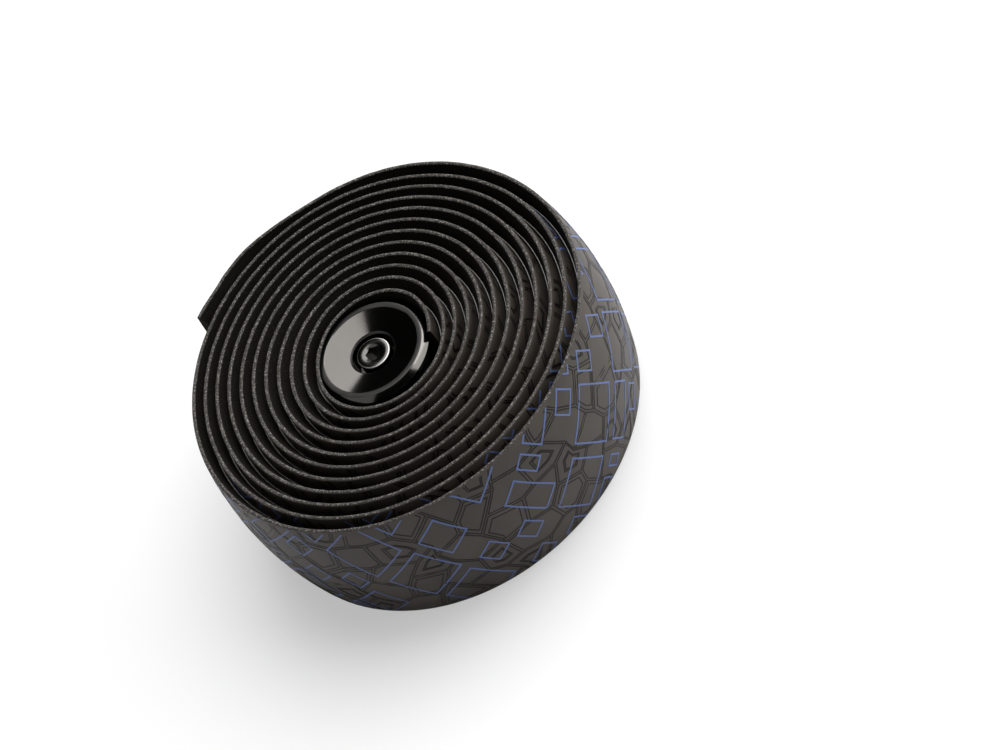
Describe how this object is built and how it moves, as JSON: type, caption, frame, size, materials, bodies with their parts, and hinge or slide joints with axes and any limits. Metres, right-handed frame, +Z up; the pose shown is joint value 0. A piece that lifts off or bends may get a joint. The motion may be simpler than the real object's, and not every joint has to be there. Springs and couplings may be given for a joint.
{
  "type": "handlebar tape roll",
  "caption": "Roll of wide handlebar tape with skived edges, standing on its end, with an expanding bar-end plug seated in its core.",
  "frame": {"origin": "centre of the roll's footprint, on the surface that it stands on", "axes": "+Z up along the plug's axis, out of the plug's cap; the tape's free tail is at the back left, at +Y"},
  "size_m": [0.0858, 0.086, 0.033],
  "materials": {
    "tape_skin": "satin charcoal skin with a fine leather grain and thin blue and black printed lines",
    "black_anodised": "gloss black anodised, finely turned",
    "black_steel": "blackened steel, bright at the chamfers",
    "sleeve_plastic": "matt black moulded",
    "wedge_metal": "plain turned"
  },
  "bodies": {
    "roll": {"handlebar_tape": "tape_skin", "end_cap": "black_anodised", "expander_sleeve": "sleeve_plastic"},
    "screw": {"cap_screw": "black_steel"},
    "wedge": {"wedge_nut": "wedge_metal"}
  },
  "joints": [
    {"name": "screw_turn", "type": "hinge", "parent": "roll", "child": "screw", "pos_m": [-0.0027, 0.00042, 0.02], "axis": [0, 0, -1], "range_deg": [0, 720]},
    {"name": "wedge_draw", "type": "slide", "parent": "roll", "child": "wedge", "axis": [0, 0, 1], "range_m": [0, 0.0014]}
  ],
  "couplings": [
    {"joint": "screw_turn", "follows": "wedge_draw", "rad_per_m": 8976}
  ]
}
